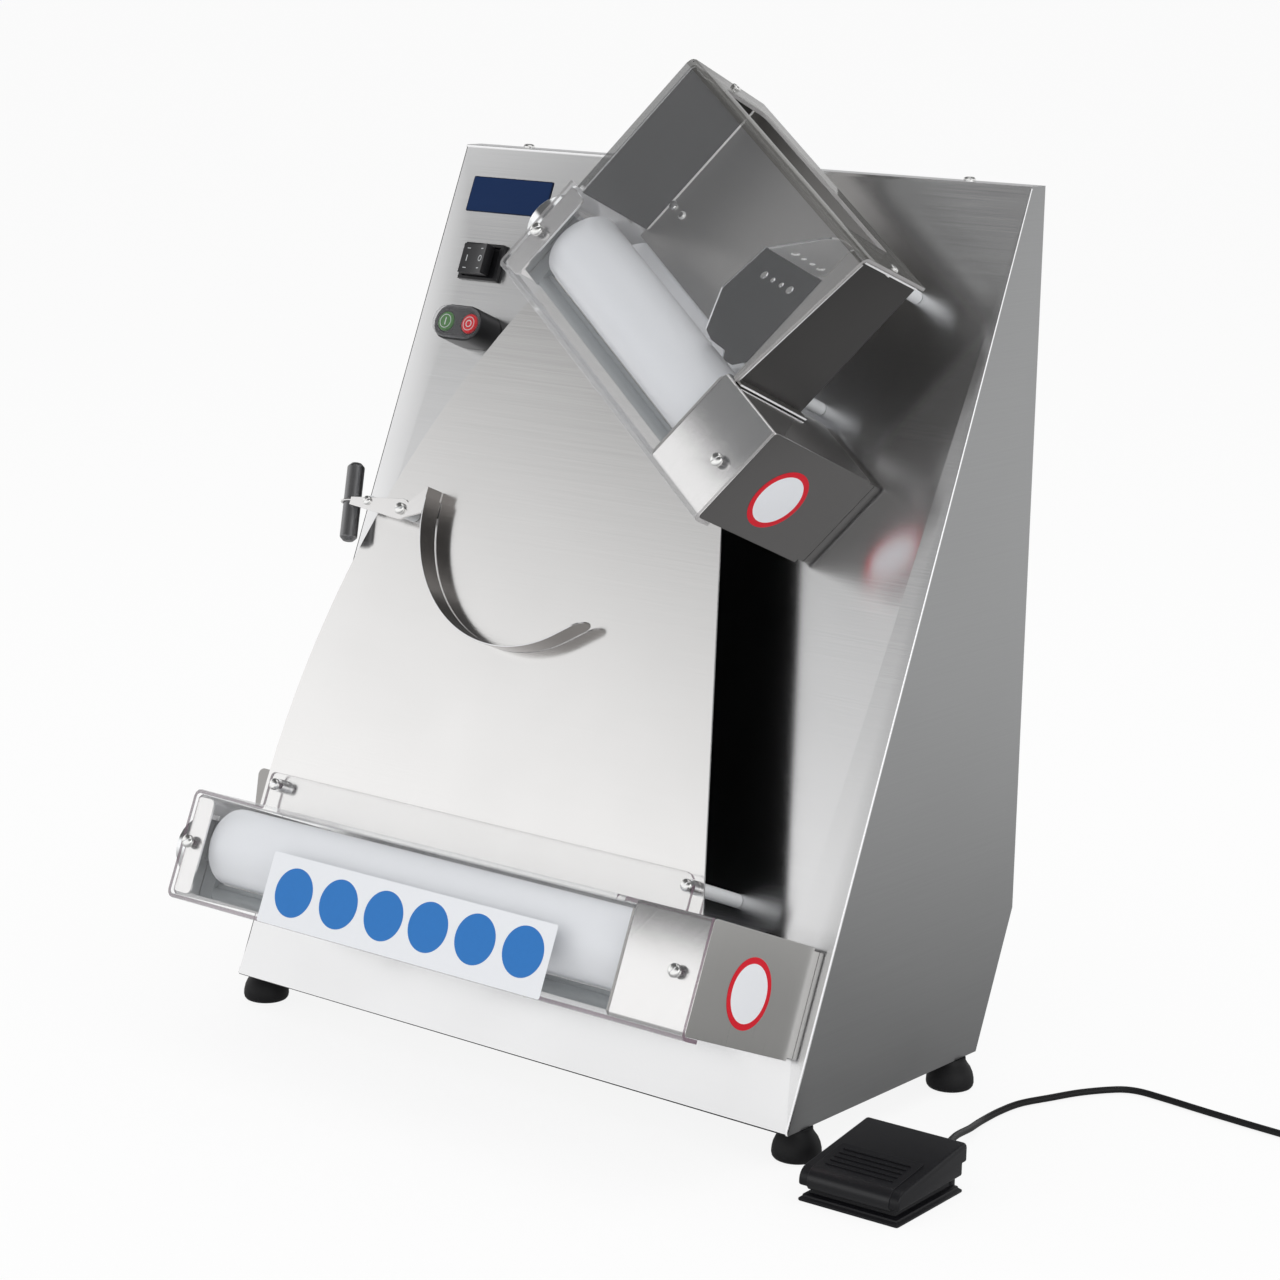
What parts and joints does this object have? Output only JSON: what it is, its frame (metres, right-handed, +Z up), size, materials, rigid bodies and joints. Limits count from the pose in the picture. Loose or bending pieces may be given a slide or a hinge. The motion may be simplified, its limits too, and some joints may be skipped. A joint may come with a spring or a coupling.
{
  "type": "pizza dough roller machine",
  "caption": "Table-top pizza dough roller with an inclined upper pair and a wide lower pair of rollers, clear guards, chute, turning flap and foot pedal.",
  "frame": {"origin": "on the floor under the middle of the box round the machine and its pedal, the loose cord left out", "axes": "+X to the right seen from the front, +Y to the back, +Z up"},
  "size_m": [0.8879, 0.4606, 0.7361],
  "materials": {
    "stainless": "brushed",
    "bright_steel": "polished",
    "aluminium": "polished",
    "cast_grey": "painted grey",
    "steel_weight": "satin",
    "white_plastic": "smooth",
    "clear_plastic": "clear polished sheet",
    "black_plastic": "fine matt",
    "black_rubber": "matt",
    "green_plastic": "smooth",
    "red_plastic": "smooth",
    "belt_green": "satin"
  },
  "bodies": {
    "machine": {"lower_left_plate": "stainless", "lower_bearing_bracket": "stainless", "lower_gear_housing": "stainless", "lower_guard": "clear_plastic", "upper_left_plate": "stainless", "upper_bearing_bracket": "stainless", "upper_gear_housing": "stainless", "upper_guard": "clear_plastic", "hopper_shell": "stainless", "hopper_side_wall": "stainless", "hopper_guide": "stainless", "hopper_standoff_left": "white_plastic", "hopper_standoff_top": "white_plastic", "hopper_standoff_low": "white_plastic", "switch_bezel": "black_plastic", "button_housing": "black_plastic", "lay_shaft_bracket": "cast_grey", "lower_belt": "belt_green", "upper_belt": "belt_green", "cross_belt": "belt_green", "chute_plate": "stainless", "chute_standoff_left": "white_plastic", "chute_standoff_right": "white_plastic", "chute_standoff_top": "white_plastic", "catch_pivot": "bright_steel", "body_shell": "stainless", "rear_cover": "stainless", "base_plate": "stainless", "foot_front_left": "black_rubber", "foot_front_right": "black_rubber", "foot_rear_left": "black_rubber", "foot_rear_right": "black_rubber", "gear_motor": "cast_grey", "mains_gland": "black_plastic", "pedal_socket": "black_plastic", "pedal_base": "black_plastic", "pedal_cord": "black_rubber", "pedal_cord_coil": "black_rubber", "pedal_connector": "black_plastic"},
    "lower_rear_set": {"lower_rear_roller": "white_plastic", "lower_rear_shaft": "bright_steel"},
    "lower_front_set": {"lower_front_roller": "white_plastic", "lower_front_shaft": "bright_steel"},
    "lower_carriage": {"lower_carriage": "cast_grey"},
    "lower_knob": {"lower_gap_knob": "aluminium"},
    "upper_rear_set": {"upper_rear_roller": "white_plastic", "upper_rear_shaft": "bright_steel"},
    "upper_front_set": {"upper_front_roller": "white_plastic", "upper_front_shaft": "bright_steel"},
    "upper_carriage": {"upper_carriage": "cast_grey"},
    "upper_knob": {"upper_gap_knob": "aluminium"},
    "drive_shaft": {"drive_shaft": "cast_grey"},
    "lay_shaft": {"lay_shaft": "cast_grey"},
    "catch": {"catch_arm": "stainless", "catch_strip": "stainless", "catch_counterweight": "steel_weight"},
    "switch_key": {"switch_key": "black_plastic"},
    "start_button": {"start_button": "green_plastic"},
    "stop_button": {"stop_button": "red_plastic"},
    "pedal_treadle": {"pedal_treadle": "black_plastic"}
  },
  "joints": [
    {"name": "lower_rear_spin", "type": "hinge", "parent": "machine", "child": "lower_rear_set", "pos_m": [0.20218, -0.0973, 0.125], "axis": [1, 0, 0], "continuous": true},
    {"name": "lower_gap_slide", "type": "slide", "parent": "machine", "child": "lower_carriage", "axis": [0, -0.9247, 0.3808], "range_m": [0, 0.0035]},
    {"name": "lower_knob_turn", "type": "hinge", "parent": "machine", "child": "lower_knob", "pos_m": [0.20218, -0.14389, 0.13662], "axis": [-1, 0, 0], "range_deg": [0, 180]},
    {"name": "lower_front_spin", "type": "hinge", "parent": "lower_carriage", "child": "lower_front_set", "pos_m": [0.20218, -0.15185, 0.14747], "axis": [1, 0, 0], "continuous": true},
    {"name": "upper_rear_spin", "type": "hinge", "parent": "machine", "child": "upper_rear_set", "pos_m": [0.12889, 0.02938, 0.43261], "axis": [0.8185, -0.2188, -0.5312], "continuous": true},
    {"name": "upper_gap_slide", "type": "slide", "parent": "machine", "child": "upper_carriage", "axis": [0, -0.9247, 0.3808], "range_m": [0, 0.0035]},
    {"name": "upper_knob_turn", "type": "hinge", "parent": "machine", "child": "upper_knob", "pos_m": [0.12487, -0.01673, 0.4454], "axis": [-0.8185, 0.2188, 0.5312], "range_deg": [0, 180]},
    {"name": "upper_front_spin", "type": "hinge", "parent": "upper_carriage", "child": "upper_front_set", "pos_m": [0.12889, -0.02518, 0.45507], "axis": [0.8185, -0.2188, -0.5312], "continuous": true},
    {"name": "drive_shaft_spin", "type": "hinge", "parent": "machine", "child": "drive_shaft", "pos_m": [-0.05362, 0.00303, 0.08369], "axis": [1, 0, 0], "continuous": true},
    {"name": "lay_shaft_spin", "type": "hinge", "parent": "machine", "child": "lay_shaft", "pos_m": [-0.05362, 0.12746, 0.4121], "axis": [1, 0, 0], "continuous": true},
    {"name": "catch_swing", "type": "hinge", "parent": "machine", "child": "catch", "pos_m": [-0.21862, 0.04403, 0.36707], "axis": [0, -0.9247, 0.3808], "range_deg": [-50, 0]},
    {"name": "switch_rock", "type": "hinge", "parent": "machine", "child": "switch_key", "pos_m": [-0.26762, 0.12007, 0.56827], "axis": [0, 0.3808, 0.9247], "range_deg": [0, 20]},
    {"name": "start_press", "type": "slide", "parent": "machine", "child": "start_button", "axis": [0, 0.9247, -0.3808], "range_m": [0, 0.003], "stiffness_N_per_m": 600},
    {"name": "stop_press", "type": "slide", "parent": "machine", "child": "stop_button", "axis": [0, 0.9247, -0.3808], "range_m": [0, 0.003], "stiffness_N_per_m": 600},
    {"name": "pedal_press", "type": "hinge", "parent": "machine", "child": "pedal_treadle", "pos_m": [0.2866, -0.06166, 0.01], "axis": [0.9991, 0.0419, 0], "range_deg": [0, 4], "stiffness_Nm_per_rad": 8, "springref_deg": -3.44}
  ],
  "couplings": [
    {"joint": "lower_knob_turn", "follows": "lower_gap_slide", "rad_per_m": 897.59},
    {"joint": "upper_knob_turn", "follows": "upper_gap_slide", "rad_per_m": 897.59},
    {"joint": "lower_front_spin", "follows": "lower_rear_spin", "ratio": -1},
    {"joint": "upper_rear_spin", "follows": "lower_rear_spin", "ratio": 1},
    {"joint": "upper_front_spin", "follows": "lower_rear_spin", "ratio": -1},
    {"joint": "drive_shaft_spin", "follows": "lower_rear_spin", "ratio": 1},
    {"joint": "lay_shaft_spin", "follows": "lower_rear_spin", "ratio": 1}
  ]
}
